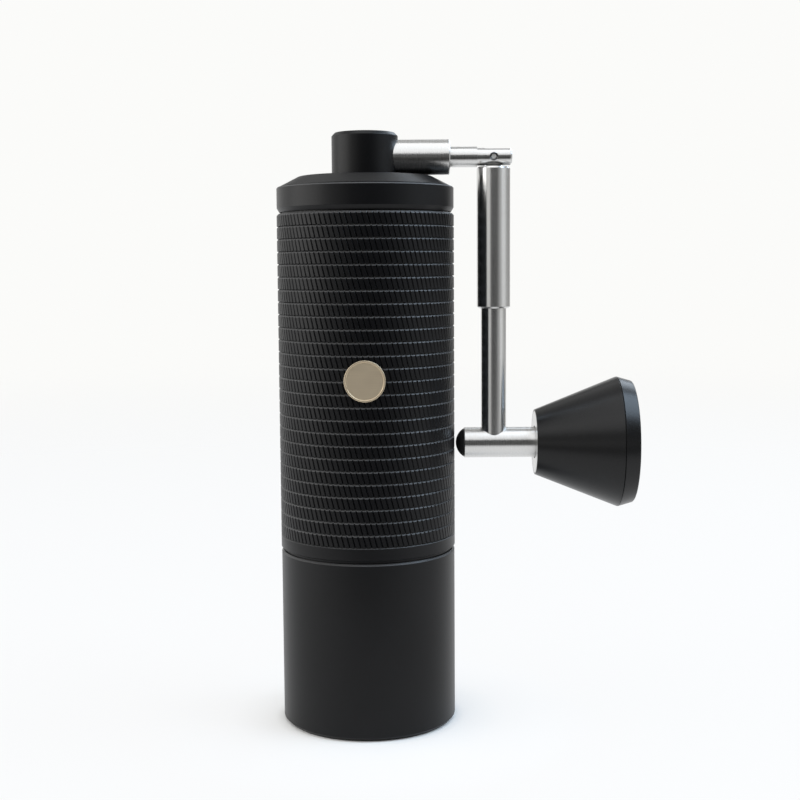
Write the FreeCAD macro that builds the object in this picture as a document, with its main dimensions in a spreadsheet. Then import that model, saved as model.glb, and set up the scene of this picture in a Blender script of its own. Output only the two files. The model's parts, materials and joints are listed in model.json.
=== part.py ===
import FreeCAD, Part
import math
import os
import Sketcher

# Hand crank coffee grinder, in millimetres.
# The origin is the centre of the cup's base and +Z is up. The folded handle hangs
# beside the barrel at +X, and the badge is on the front of the barrel at -Y.

SIZES = (
    # Clearances
    ("fit_clearance", 0.02),
    ("running_clearance", 0.05),
    ("thread_clearance", 0.25),
    # Catch cup
    ("cup_step", 0.1),
    ("cup_height", 52.2),
    ("cup_wall", 2.0),
    ("cup_floor", 2.5),
    ("cup_base_chamfer", 1.2),
    ("cup_rim_chamfer", 0.5),
    ("cup_inner_fillet", 3.0),
    # Barrel
    ("barrel_radius", 26.25),
    ("barrel_wall", 2.65),
    ("joint_groove_height", 0.8),
    ("joint_groove_depth", 0.95),
    ("collar_height", 4.1),
    ("collar_chamfer", 0.35),
    ("ring_count", 26),
    ("ring_pitch", 3.664),
    ("ring_depth", 0.7),
    ("ring_width", 0.6),
    ("rim_bevel_depth", 0.5),
    ("rim_bevel_height", 0.45),
    ("spigot_wall", 2.88),
    ("spigot_lip", 0.4),
    ("seat_rise", 7.3),
    ("seat_lip_height", 2.5),
    ("seat_lip_cover", 1.5),
    # Badge
    ("badge_radius", 5.9),
    ("badge_rise", 47.55),
    ("badge_thickness", 1.0),
    ("badge_proud", 0.2),
    ("badge_rim", 0.5),
    ("badge_dish", 0.15),
    # Bearing bridges and hopper liner
    ("bridge_gap", 0.1),
    ("bridge_rim_wall", 1.5),
    ("bridge_arm_count", 3),
    ("bridge_arm_width", 5.0),
    ("bridge_hub_wall", 2.0),
    ("bridge_hub_height", 6.0),
    ("bridge_lip_width", 2.1),
    ("bridge_skirt", 6.0),
    ("liner_length", 38.0),
    ("liner_wall", 1.4),
    # Bearings
    ("bearing_radius", 7.5),
    ("bearing_width", 5.0),
    ("race_wall", 1.2),
    ("shield_thickness", 0.4),
    ("shield_gap", 0.15),
    # Drive shaft
    ("shaft_radius", 3.0),
    ("shaft_collar_step", 1.0),
    ("shaft_collar_height", 2.0),
    ("shaft_flat_depth", 0.5),
    ("shaft_thread_step", 0.5),
    ("shaft_tail", 2.9),
    ("hex_corner_drop", 0.113),
    ("hex_length", 16.0),
    # Retaining clips
    ("clip_thickness", 0.8),
    ("clip_depth", 0.5),
    ("clip_reach", 1.4),
    ("clip_mouth", 3.6),
    ("clip_gap", 0.3),
    # Burrs
    ("outer_burr_height", 13.0),
    ("burr_mouth_wall", 2.6),
    ("burr_throat_wall", 6.5),
    ("burr_entry_wall", 5.5),
    ("burr_gap", 0.45),
    ("tooth_slope_share", 0.8),
    ("fine_zone_height", 6.5),
    ("fine_tooth_count", 30),
    ("fine_tooth_depth", 0.9),
    ("fine_tooth_twist", 10),
    ("entry_tooth_count", 12),
    ("entry_tooth_depth", 1.8),
    ("entry_tooth_twist", 14),
    ("feed_flute_count", 6),
    ("feed_flute_depth", 3.0),
    ("feed_flute_twist", 40),
    ("burr_head_gap", 1.0),
    ("inner_burr_top_radius", 7.8),
    ("burr_ring_height", 1.6),
    ("burr_ring_wall", 2.0),
    ("burr_ring_notch", 2.4),
    ("burr_spring_gap", 0.4),
    ("burr_spring_wire", 0.7),
    ("burr_spring_turns", 4),
    ("spring_pocket_depth", 5.5),
    ("spring_pocket_gap", 0.4),
    # Click plate and grind dial
    ("click_plate_radius", 11.0),
    ("click_plate_thickness", 1.6),
    ("click_count", 12),
    ("click_circle_radius", 7.5),
    ("click_dimple_radius", 0.9),
    ("click_dimple_depth", 0.5),
    ("dial_radius", 13.5),
    ("dial_height", 7.5),
    ("dial_boss_radius", 9.8),
    ("dial_boss_height", 2.4),
    ("dial_notch_count", 18),
    ("dial_notch_radius", 1.3),
    # Lid
    ("lid_step", 0.05),
    ("lid_taper_width", 0.75),
    ("lid_neck_step", 1.6),
    ("lid_neck_height", 0.4),
    ("lid_taper_height", 1.3),
    ("lid_wall_height", 6.1),
    ("lid_edge_chamfer", 0.35),
    ("lid_ledge", 0.25),
    ("lid_line_width", 0.4),
    ("lid_line_depth", 0.5),
    ("lid_bevel_rise", 3.1),
    ("lid_bevel_width", 5.5),
    ("lid_top_round", 1.6),
    ("lid_plate", 3.0),
    ("lid_skirt_length", 6.0),
    ("lid_skirt_gap", 0.4),
    ("lid_skirt_wall", 2.8),
    ("o_ring_section", 0.9),
    ("o_ring_gap", 0.1),
    ("o_ring_side_gap", 0.15),
    ("o_ring_rise", 1.5),
    ("bushing_wall", 1.65),
    ("bushing_flange_width", 1.5),
    ("bushing_flange_height", 2.0),
    # Crank hub
    ("hub_radius", 9.8),
    ("hub_gap", 0.3),
    ("hub_crown", 2.05),
    ("hub_chamfer", 1.0),
    ("hub_neck_radius", 5.8),
    ("hub_neck_length", 13.1),
    ("drive_socket_radius", 4.2),
    ("drive_socket_length", 10.2),
    ("socket_headroom", 1.2),
    ("drive_clearance", 0.06),
    # Stub tube, fork rod and hinge
    ("stub_radius", 5.15),
    ("stub_clearance", 0.45),
    ("stub_chamfer", 0.3),
    ("rod_radius", 3.0),
    ("rod_root", 5.0),
    ("rod_length", 8.05),
    ("knuckle_radius", 2.6),
    ("knuckle_gap", 0.4),
    ("knuckle_front", 5.4),
    ("knuckle_chamfer", 0.5),
    ("slot_width", 2.2),
    ("slot_gap", 0.4),
    ("pin_radius", 1.25),
    ("pin_sink", 0.15),
    ("pin_socket_across", 1.4),
    ("pin_socket_depth", 1.0),
    # Arm and lock sleeve
    ("tongue_radius", 2.2),
    ("tongue_clearance", 0.1),
    ("neck_gap", 1.0),
    ("neck_radius", 2.3),
    ("spring_room", 13.55),
    ("arm_radius", 3.8),
    ("arm_drop", 85.05),
    ("saddle_gap", 0.02),
    ("sleeve_wall", 1.12),
    ("sleeve_length", 41.7),
    ("sleeve_gap", 0.35),
    ("sleeve_clearance", 0.08),
    ("sleeve_flange", 2.5),
    ("sleeve_chamfer", 0.5),
    ("sleeve_spring_radius", 3.3),
    ("sleeve_spring_wire", 0.6),
    ("sleeve_spring_turns", 6),
    # Cross tube and bumper
    ("tube_radius", 4.55),
    ("tube_bore_radius", 2.5),
    ("tube_tail", 9.1),
    ("tube_nose", 2.0),
    ("tube_chamfer", 0.3),
    ("bumper_step", 0.35),
    ("bumper_dome", 2.3),
    ("bumper_stem", 5.0),
    ("bumper_gap", 0.4),
    # Knob
    ("knob_offset", 12.35),
    ("knob_small_radius", 9.8),
    ("knob_big_radius", 19.55),
    ("knob_end_radius", 18.3),
    ("knob_cone_length", 24.6),
    ("knob_rim_length", 4.5),
    ("knob_edge_round", 0.4),
    ("face_ring_thickness", 0.8),
    ("face_ring_step", 0.5),
    ("knob_recess_gap", 0.35),
    ("knob_bore_gap", 0.7),
    ("knob_bush_wall", 1.6),
    ("knob_bush_length", 6.0),
    ("axle_root", 10.0),
    ("axle_head_radius", 4.4),
    ("axle_head_height", 2.6),
    ("axle_head_gap", 0.3),
    ("knob_cap_radius", 7.0),
    ("knob_cap_thickness", 1.8),
)

doc = FreeCAD.newDocument("coffee_grinder")
sheet = doc.addObject("Spreadsheet::Sheet", "Sizes")
for row, (alias, value) in enumerate(SIZES, start=1):
    sheet.set(f"A{row}", alias.replace("_", " "))
    sheet.set(f"B{row}", str(value))
    sheet.setAlias(f"B{row}", alias)
doc.recompute()


class Size:
    """A length, with its number and the sheet formula that it comes from."""

    def __init__(self, number, formula):
        self.number = float(number)
        self.formula = formula

    def __float__(self):
        return self.number

    def __add__(self, other):
        return Size(self.number + float(other), f"({self.formula} + {words(other)})")

    def __sub__(self, other):
        return Size(self.number - float(other), f"({self.formula} - {words(other)})")

    def __mul__(self, factor):
        return Size(self.number * float(factor), f"({self.formula} * {words(factor)})")

    def __truediv__(self, factor):
        return Size(self.number / float(factor), f"({self.formula} / {words(factor)})")

    def __neg__(self):
        return Size(-self.number, f"(0 - {self.formula})")


def words(thing):
    """The formula of a size, or the digits of a plain number."""
    return thing.formula if isinstance(thing, Size) else str(thing)


def size(alias):
    """One driving dimension from the sheet."""
    return Size(sheet.get(alias), "Sizes." + alias)


# Radii that the pieces share, each a step or a wall from the barrel or the shaft
barrel_bore = size("barrel_radius") - size("barrel_wall")
cup_radius = size("barrel_radius") - size("cup_step")
cup_bore = cup_radius - size("cup_wall")
spigot_radius = cup_bore - size("thread_clearance")
burr_seat_radius = spigot_radius - size("spigot_wall")
outer_burr_radius = burr_seat_radius - size("fit_clearance")
burr_mouth_radius = outer_burr_radius - size("burr_mouth_wall")
burr_throat_radius = outer_burr_radius - size("burr_throat_wall")
burr_entry_radius = outer_burr_radius - size("burr_entry_wall")
bridge_radius = barrel_bore - size("bridge_gap")
thread_radius = size("shaft_radius") - size("shaft_thread_step")
hex_across = (size("shaft_radius") - size("hex_corner_drop")) * math.sqrt(3)
burr_spring_radius = size("shaft_radius") + size("burr_spring_gap") + size("burr_spring_wire") / 2
sleeve_radius = size("arm_radius") + size("sleeve_clearance") + size("sleeve_wall")

# Heights that the pieces share
cup_rim = size("cup_height")
collar_bottom = cup_rim + size("joint_groove_height")
knurl_bottom = collar_bottom + size("collar_height")
barrel_top = knurl_bottom + size("ring_pitch") * size("ring_count")
burr_seat = cup_rim + size("seat_rise")
lower_bridge_base = burr_seat + size("seat_lip_height")
lower_bridge_height = size("bridge_skirt") + size("bridge_hub_height")
lower_bridge_top = lower_bridge_base + lower_bridge_height
upper_bridge_base = lower_bridge_top + size("liner_length")
upper_bridge_top = upper_bridge_base + size("bridge_hub_height")
burr_bottom = burr_seat - size("outer_burr_height")
burr_throat = burr_bottom + size("fine_zone_height")
spigot_bottom = burr_bottom - size("burr_ring_height") - size("spigot_lip")
inner_burr_top = lower_bridge_base + size("bridge_skirt") - size("burr_head_gap")
spring_floor = inner_burr_top - size("spring_pocket_depth")
dial_top = burr_bottom - size("click_plate_thickness")
dial_bottom = dial_top - size("dial_height")
shaft_step = burr_bottom - size("click_plate_thickness") / 2
lid_edge = barrel_top + size("lid_neck_height")
lid_taper_top = lid_edge + size("lid_taper_height")
lid_wall_top = lid_taper_top + size("lid_wall_height")
lid_top = lid_wall_top + size("lid_bevel_rise")
lid_underside = lid_top - size("lid_plate")
hub_bottom = lid_top + size("hub_gap")
hub_neck_bottom = hub_bottom - size("hub_neck_length")
crank_height = lid_top + size("stub_clearance") + size("stub_radius")
hub_top = crank_height + size("stub_radius") + size("hub_crown")
socket_top = hub_neck_bottom + size("drive_socket_length")
shaft_top = socket_top - size("socket_headroom")
clip_top = lid_underside - size("bushing_flange_height") - size("clip_gap")
clip_bottom = clip_top - size("clip_thickness")

# Places along the folded handle, where the hinge stands off far enough for the bumper to clear the barrel
hinge_reach = size("barrel_radius") + size("bumper_gap") + size("bumper_dome") + size("tube_tail")
tube_height = crank_height - size("arm_drop")
knob_face = hinge_reach + size("knob_offset")
knuckle_back = sleeve_radius - size("sleeve_chamfer") + size("knuckle_gap")
sleeve_top = size("knuckle_radius") + size("sleeve_gap")
sleeve_bottom = sleeve_top + size("sleeve_length")
spring_start = sleeve_top + size("sleeve_flange")
arm_shoulder = spring_start + size("spring_room")

# Turns that bring a piece's own axis from +Z to where it lies on the grinder
UPRIGHT = FreeCAD.Rotation()
ALONG_X = FreeCAD.Rotation(FreeCAD.Vector(0, 1, 0), 90)
AGAINST_X = FreeCAD.Rotation(FreeCAD.Vector(0, 1, 0), -90)
ALONG_Y = FreeCAD.Rotation(FreeCAD.Vector(1, 0, 0), -90)
AGAINST_Y = FreeCAD.Rotation(FreeCAD.Vector(1, 0, 0), 90)
HANGING = FreeCAD.Rotation(FreeCAD.Vector(0, 1, 0), 180)

# A cut that goes right through a round piece is this many of its radii long
THROUGH = 4


def bind(thing, prop, value):
    """Tie a property to the sheet."""
    thing.setExpression(prop, value.formula)


def place(thing, across=0, along=0, up=0, turn=UPRIGHT):
    """Put a piece where it belongs, with its place tied to the sheet."""
    thing.Placement = FreeCAD.Placement(FreeCAD.Vector(float(across), float(along), float(up)), turn)
    for prop, value in (("x", across), ("y", along), ("z", up)):
        if isinstance(value, Size):
            bind(thing, "Placement.Base." + prop, value)
    return thing


def new_body(label):
    body = doc.addObject("PartDesign::Body", label)
    body.Label = label
    return body


def sketch_on(body, role, name, offset=None):
    """A sketch on one of a body's own planes, moved along the plane's normal where an offset is given."""
    sketch = body.newObject("Sketcher::SketchObject", f"{body.Label}_{name}")
    plane = next(item for item in body.Origin.OriginFeatures if item.Role == role)
    sketch.AttachmentSupport = [(plane, "")]
    sketch.MapMode = "FlatFace"
    if offset is not None:
        bind(sketch, "AttachmentOffset.Base.z", offset)
    return sketch


def tie(sketch, kind, where, value):
    """Add a dimension to a sketch and tie it to the sheet."""
    index = sketch.addConstraint(Sketcher.Constraint(kind, *where, value.number))
    name = f"{kind}_{index}"
    sketch.renameConstraint(index, name)
    bind(sketch, "Constraints." + name, value)


def fix_point(sketch, edge, point, across, up):
    """Fix a point of a sketch by its distances from the sketch's origin, or on an axis where one is 0."""
    for kind, axis, value in (("DistanceX", -2, across), ("DistanceY", -1, up)):
        if isinstance(value, Size):
            tie(sketch, kind, (-1, 1, edge, point), value)
        else:
            sketch.addConstraint(Sketcher.Constraint("PointOnObject", edge, point, axis))


def outline(sketch, points):
    """Draw a closed outline of straight edges through the given points."""
    corners = [FreeCAD.Vector(float(across), float(up), 0) for across, up in points]
    for here, there in zip(corners, corners[1:] + corners[:1]):
        sketch.addGeometry(Part.LineSegment(here, there), False)
    for edge in range(len(points)):
        sketch.addConstraint(Sketcher.Constraint("Coincident", edge, 2, (edge + 1) % len(points), 1))
    for edge, (across, up) in enumerate(points):
        fix_point(sketch, edge, 1, across, up)


def circle(sketch, across, up, radius):
    """Draw a circle in a sketch."""
    centre = FreeCAD.Vector(float(across), float(up), 0)
    sketch.addGeometry(Part.Circle(centre, FreeCAD.Vector(0, 0, 1), radius.number), False)
    fix_point(sketch, 0, 3, across, up)
    tie(sketch, "Radius", (0,), radius)


def hexagon(sketch, across_flats):
    """Draw a regular hexagon round the sketch's origin, with a corner on its first axis."""
    corner = across_flats / math.sqrt(3)
    corners = []
    for number in range(6):
        angle = math.radians(60 * number)
        corners.append(FreeCAD.Vector(math.cos(angle), math.sin(angle), 0) * corner.number)
    for here, there in zip(corners, corners[1:] + corners[:1]):
        sketch.addGeometry(Part.LineSegment(here, there), False)
    guide = sketch.addGeometry(Part.Circle(FreeCAD.Vector(), FreeCAD.Vector(0, 0, 1), corner.number), True)
    for edge in range(6):
        sketch.addConstraint(Sketcher.Constraint("Coincident", edge, 2, (edge + 1) % 6, 1))
        sketch.addConstraint(Sketcher.Constraint("PointOnObject", edge, 1, guide))
    for edge in range(5):
        sketch.addConstraint(Sketcher.Constraint("Equal", edge, edge + 1))
    sketch.addConstraint(Sketcher.Constraint("Coincident", guide, 3, -1, 1))
    sketch.addConstraint(Sketcher.Constraint("PointOnObject", 0, 1, -1))
    tie(sketch, "Radius", (guide,), corner)


def add_feature(body, kind, name, profile):
    feature = body.newObject("PartDesign::" + kind, f"{body.Label}_{name}")
    feature.Profile = profile
    body.Tip = feature
    return feature


def turned(label, points):
    """A body of revolution about its own Z axis, from an outline of (radius, height) points."""
    body = new_body(label)
    sketch = sketch_on(body, "XZ_Plane", "profile")
    outline(sketch, points)
    feature = add_feature(body, "Revolution", "turn", sketch)
    feature.ReferenceAxis = (sketch, ["V_Axis"])
    feature.Angle = 360
    return body


def cut_both_ways(body, name, sketch, length):
    """Cut a sketch's shape out of a body, half the length to each side of the sketch."""
    feature = add_feature(body, "Pocket", name, sketch)
    feature.Midplane = True
    bind(feature, "Length", length)
    return feature


def cut_forward(body, name, sketch, length):
    """Cut a sketch's shape out of a body along the sketch's normal."""
    feature = add_feature(body, "Pocket", name, sketch)
    feature.Reversed = True
    bind(feature, "Length", length)
    return feature


def origin_axis(body, role):
    axis = next(item for item in body.Origin.OriginFeatures if item.Role == role)
    return (axis, [""])


def repeat_round(body, name, feature, count):
    """Repeat a feature evenly round the body's Z axis."""
    pattern = body.newObject("PartDesign::PolarPattern", f"{body.Label}_{name}")
    pattern.Originals = [feature]
    pattern.Axis = origin_axis(body, "Z_Axis")
    pattern.Angle = 360
    bind(pattern, "Occurrences", count)
    body.Tip = pattern


def round_edge(body, name, radius, height, fillet):
    """Round the circular edge of a body at a radius and height."""
    doc.recompute()
    base = body.Tip
    edges = []
    for number, edge in enumerate(base.Shape.Edges, start=1):
        if not isinstance(edge.Curve, Part.Circle):
            continue
        if math.isclose(edge.Curve.Radius, radius.number, abs_tol=1e-4):
            if math.isclose(edge.Curve.Center.z, height.number, abs_tol=1e-4):
                edges.append(f"Edge{number}")
    feature = body.newObject("PartDesign::Fillet", f"{body.Label}_{name}")
    feature.Base = (base, edges)
    bind(feature, "Radius", fillet)
    body.Tip = feature


def cylinder(name, radius, height, up):
    """A plain round bar on the grinder's axis."""
    bar = doc.addObject("Part::Cylinder", name)
    bind(bar, "Radius", radius)
    bind(bar, "Height", height)
    return place(bar, up=up)


def cut(name, base, tool):
    result = doc.addObject("Part::Cut", name)
    result.Base = base
    result.Tool = tool
    return result


def ring(label, outer, inner, height, up):
    """A plain ring on the grinder's axis."""
    whole = cylinder(label + "_outside", outer, height, up)
    hole = cylinder(label + "_hole", inner, height, up)
    return cut(label, whole, hole)


def washer_points(inner, outer, low, high):
    """The outline of a ring with a square section."""
    return [(inner, low), (outer, low), (outer, high), (inner, high)]


def solid_feature(label, shape):
    """A sub-part whose shape is worked out below."""
    feature = doc.addObject("Part::Feature", label)
    feature.Shape = shape
    return feature


# Catch cup
def make_catch_cup():
    radius = cup_radius
    chamfer = size("cup_base_chamfer")
    rim_chamfer = size("cup_rim_chamfer")
    floor = size("cup_floor")
    body = turned("catch_cup", [
        (0, 0),
        (radius - chamfer, 0),
        (radius, chamfer),
        (radius, cup_rim - rim_chamfer),
        (radius - rim_chamfer, cup_rim),
        (cup_bore, cup_rim),
        (cup_bore, floor),
        (0, floor),
    ])
    round_edge(body, "floor_round", cup_bore, floor, size("cup_inner_fillet"))
    return [body]


# Barrel with its ring grooves, and the badge in its flat seat
def make_barrel():
    radius = size("barrel_radius")
    lip_radius = cup_radius - size("joint_groove_depth")
    seat_lip = outer_burr_radius - size("seat_lip_cover")
    chamfer = size("collar_chamfer")
    body = turned("barrel", [
        (burr_seat_radius, spigot_bottom),
        (spigot_radius, spigot_bottom),
        (spigot_radius, cup_rim),
        (lip_radius, cup_rim),
        (lip_radius, collar_bottom),
        (radius - chamfer, collar_bottom),
        (radius, collar_bottom + chamfer),
        (radius, barrel_top - size("rim_bevel_height")),
        (radius - size("rim_bevel_depth"), barrel_top),
        (barrel_bore, barrel_top),
        (barrel_bore, lower_bridge_base),
        (seat_lip, lower_bridge_base),
        (seat_lip, burr_seat),
        (burr_seat_radius, burr_seat),
    ])
    # Each ring groove has a flat upper side and a bevel that runs out to the band below it.
    sketch = sketch_on(body, "XZ_Plane", "ring_profile")
    outline(sketch, [
        (radius - size("ring_depth"), knurl_bottom),
        (radius, knurl_bottom - size("ring_width")),
        (radius + size("ring_depth"), knurl_bottom - size("ring_width")),
        (radius + size("ring_depth"), knurl_bottom),
    ])
    groove = add_feature(body, "Groove", "ring_groove", sketch)
    groove.ReferenceAxis = (sketch, ["V_Axis"])
    groove.Angle = 360
    rings = body.newObject("PartDesign::LinearPattern", "barrel_rings")
    rings.Originals = [groove]
    rings.Direction = origin_axis(body, "Z_Axis")
    rings.Mode = "Spacing"
    bind(rings, "Offset", size("ring_pitch"))
    bind(rings, "Occurrences", size("ring_count"))
    body.Tip = rings
    seat_depth = radius + size("badge_proud") - size("badge_thickness")
    seat = sketch_on(body, "XZ_Plane", "badge_seat", seat_depth)
    circle(seat, 0, knurl_bottom + size("badge_rise"), size("badge_radius") + size("fit_clearance"))
    cut_forward(body, "badge_pocket", seat, size("badge_thickness") * 2)
    return [body]


def make_badge():
    radius = size("badge_radius")
    rim = radius - size("badge_rim")
    thickness = size("badge_thickness")
    face = thickness - size("badge_dish")
    badge = turned("badge", [
        (0, 0),
        (radius, 0),
        (radius, thickness),
        (rim, thickness),
        (rim, face),
        (0, face),
    ])
    seat = size("badge_thickness") - size("badge_proud") - size("barrel_radius")
    place(badge, along=seat, up=knurl_bottom + size("badge_rise"), turn=AGAINST_Y)
    return [badge]


# Bearing brackets: a rim that fits the barrel, a hub that holds the bearing, and arms between them
def make_bridge(label, base, height):
    top = base + height
    seat = size("bearing_radius") + size("fit_clearance")
    hub_radius = seat + size("bridge_hub_wall")
    hub_base = top - size("bridge_hub_height")
    rim_inside = bridge_radius - size("bridge_rim_wall")
    rim = ring(label + "_rim", bridge_radius, rim_inside, height, base)
    pieces = [rim, cylinder(label + "_hub", hub_radius, size("bridge_hub_height"), hub_base)]
    arm_count = int(size("bridge_arm_count").number)
    for number in range(arm_count):
        arm = doc.addObject("Part::Box", f"{label}_arm_{number + 1}")
        bind(arm, "Length", rim_inside + size("bridge_rim_wall") / 2)
        bind(arm, "Width", size("bridge_arm_width"))
        bind(arm, "Height", size("bridge_hub_height"))
        turn = FreeCAD.Rotation(FreeCAD.Vector(0, 0, 1), 90 + 360 / arm_count * number)
        side = turn.multVec(FreeCAD.Vector(0, 1, 0))
        half = size("bridge_arm_width") / 2
        pieces.append(place(arm, half * -side.x, half * -side.y, hub_base, turn))
    whole = doc.addObject("Part::MultiFuse", label + "_whole")
    whole.Shapes = pieces
    bore = size("bearing_radius") - size("bridge_lip_width")
    bore_tool = cylinder(label + "_bore", bore, size("bridge_hub_height"), hub_base)
    opened = cut(label + "_opened", whole, bore_tool)
    seat_bottom = top - size("bearing_width")
    seat_tool = cylinder(label + "_seat", seat, size("bearing_width"), seat_bottom)
    return cut(label, opened, seat_tool)


def make_bearing(label, top):
    """A shielded ball bearing: its outer race with both shields, and its inner race on the shaft."""
    base = top - size("bearing_width")
    outer = size("bearing_radius")
    race = outer - size("race_wall")
    inner = size("shaft_radius") + size("race_wall")
    shield = inner + size("shield_gap")
    step = size("shield_thickness")
    outside = turned(label + "_outer", [
        (shield, base),
        (outer, base),
        (outer, top),
        (shield, top),
        (shield, top - step),
        (race, top - step),
        (race, base + step),
        (shield, base + step),
    ])
    bore = size("shaft_radius") + size("fit_clearance")
    inside = turned(label + "_inner", washer_points(bore, inner, base, top))
    return outside, inside


def make_hopper():
    lower = make_bridge("lower_bridge", lower_bridge_base, lower_bridge_height)
    upper = make_bridge("upper_bridge", upper_bridge_base, size("bridge_hub_height"))
    liner_inside = bridge_radius - size("liner_wall")
    liner_points = washer_points(liner_inside, bridge_radius, lower_bridge_top, upper_bridge_base)
    return [lower, upper, turned("hopper_liner", liner_points)]


# Drive shaft, with a hexagonal top, flats for the burr and a thin threaded tail for the dial
def make_drive_shaft():
    radius = size("shaft_radius")
    hex_bottom = shaft_top - size("hex_length")
    tail_bottom = dial_bottom - size("shaft_tail")
    groove = radius - size("clip_depth")
    collar = radius + size("shaft_collar_step")
    collar_top = lower_bridge_top + size("shaft_collar_height")
    clip_ceiling = upper_bridge_top + size("clip_thickness")
    body = turned("drive_shaft", [
        (0, tail_bottom),
        (thread_radius, tail_bottom),
        (thread_radius, shaft_step),
        (radius, shaft_step),
        (radius, lower_bridge_top),
        (collar, lower_bridge_top),
        (collar, collar_top),
        (radius, collar_top),
        (radius, upper_bridge_top),
        (groove, upper_bridge_top),
        (groove, clip_ceiling),
        (radius, clip_ceiling),
        (radius, hex_bottom),
        (0, hex_bottom),
    ])
    flat = radius - size("shaft_flat_depth")
    for name, side in (("front", -1), ("back", 1)):
        sketch = sketch_on(body, "YZ_Plane", name + "_flat")
        outline(sketch, [
            (flat * side, shaft_step),
            (radius * (2 * side), shaft_step),
            (radius * (2 * side), inner_burr_top),
            (flat * side, inner_burr_top),
        ])
        cut_both_ways(body, name + "_flat_cut", sketch, radius * THROUGH)
    sketch = sketch_on(body, "XY_Plane", "hexagon", hex_bottom)
    hexagon(sketch, hex_across)
    feature = add_feature(body, "Pad", "hex_end", sketch)
    bind(feature, "Length", size("hex_length"))
    return body


def make_clip(label, groove_radius, base):
    """A retaining clip: a flat ring with an open mouth, sprung into a groove."""
    outer = groove_radius + size("clip_depth") + size("clip_reach")
    whole = ring(label + "_ring", outer, groove_radius, size("clip_thickness"), base)
    mouth = doc.addObject("Part::Box", label + "_mouth")
    bind(mouth, "Length", outer * 2)
    bind(mouth, "Width", size("clip_mouth"))
    bind(mouth, "Height", size("clip_thickness"))
    place(mouth, 0, size("clip_mouth") / -2, base)
    return cut(label, whole, mouth)


# Burrs
def tooth_ring(tip, root, count, height, turn):
    """A closed star outline of saw teeth at one height, each with a long slope and a short steep side."""
    step = 2 * math.pi / count
    slope_share = size("tooth_slope_share").number
    points = []
    for number in range(count):
        for radius, share in ((tip, 0.0), (root, slope_share)):
            angle = turn + (number + share) * step
            points.append(FreeCAD.Vector(radius * math.cos(angle), radius * math.sin(angle), height))
    return Part.makePolygon(points + points[:1])


def tooth_zone(count, depth, low, high, twist):
    """A toothed block between two (tip radius, height) levels, twisted by an angle from low to high."""
    wires = []
    for (tip, height), turn in ((low, 0.0), (high, math.radians(twist))):
        wires.append(tooth_ring(tip, tip + depth, count, height, turn))
    return Part.makeLoft(wires, True, True)


def shaft_bore(low, high):
    """The shaft's double-flat section with running clearance, as a cutting block."""
    clearance = size("running_clearance").number
    radius = size("shaft_radius").number + clearance
    flat = size("shaft_radius").number - size("shaft_flat_depth").number + clearance
    bar = Part.makeCylinder(radius, high - low, FreeCAD.Vector(0, 0, low))
    corner = FreeCAD.Vector(-THROUGH / 2 * radius, -flat, low)
    slab = Part.makeBox(THROUGH * radius, 2 * flat, high - low, corner)
    return bar.common(slab)


def make_outer_burr():
    """A steel ring with fine teeth in its flared lower half and coarse teeth at its entry."""
    bottom = burr_bottom.number
    throat = burr_throat.number
    top = burr_seat.number
    block = Part.makeCylinder(outer_burr_radius.number, top - bottom, FreeCAD.Vector(0, 0, bottom))
    mouth = (burr_mouth_radius.number, bottom)
    waist = (burr_throat_radius.number, throat)
    entry = (burr_entry_radius.number, top)
    fine_count = int(size("fine_tooth_count").number)
    entry_count = int(size("entry_tooth_count").number)
    fine_depth = size("fine_tooth_depth").number
    entry_depth = size("entry_tooth_depth").number
    fine = tooth_zone(fine_count, fine_depth, mouth, waist, size("fine_tooth_twist").number)
    coarse = tooth_zone(entry_count, entry_depth, waist, entry, size("entry_tooth_twist").number)
    return solid_feature("outer_burr", block.cut(fine).cut(coarse))


def make_inner_burr():
    """A steel cone with fine teeth round its skirt and deep feed flutes above."""
    bottom = burr_bottom.number
    throat = burr_throat.number
    top = inner_burr_top.number
    gap = size("burr_gap").number
    skirt = (burr_mouth_radius.number - gap, bottom)
    waist = (burr_throat_radius.number - gap, throat)
    tip = (size("inner_burr_top_radius").number, top)
    fine_count = int(size("fine_tooth_count").number)
    flute_count = int(size("feed_flute_count").number)
    fine_depth = size("fine_tooth_depth").number
    flute_depth = size("feed_flute_depth").number
    fine = tooth_zone(fine_count, -fine_depth, skirt, waist, -size("fine_tooth_twist").number)
    flutes = tooth_zone(flute_count, -flute_depth, waist, tip, -size("feed_flute_twist").number)
    pocket_radius = burr_spring_radius + size("burr_spring_wire") / 2 + size("spring_pocket_gap")
    depth = size("spring_pocket_depth").number
    pocket = Part.makeCylinder(pocket_radius.number, depth, FreeCAD.Vector(0, 0, spring_floor.number))
    cone = fine.fuse(flutes).removeSplitter()
    return solid_feature("inner_burr", cone.cut(shaft_bore(bottom, top)).cut(pocket))


def make_burr_ring():
    """The threaded ring that holds the outer burr up in its seat, with spanner notches."""
    outer = outer_burr_radius
    inner = outer - size("burr_ring_wall")
    low = burr_bottom - size("burr_ring_height")
    body = turned("burr_ring", washer_points(inner, outer, low, burr_bottom))
    notch = sketch_on(body, "XZ_Plane", "notch")
    half = size("burr_ring_notch") / 2
    middle = low + size("burr_ring_height") / 2
    outline(notch, [(-half, low), (half, low), (half, middle), (-half, middle)])
    cut_both_ways(body, "notches", notch, outer * THROUGH)
    return body


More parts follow.
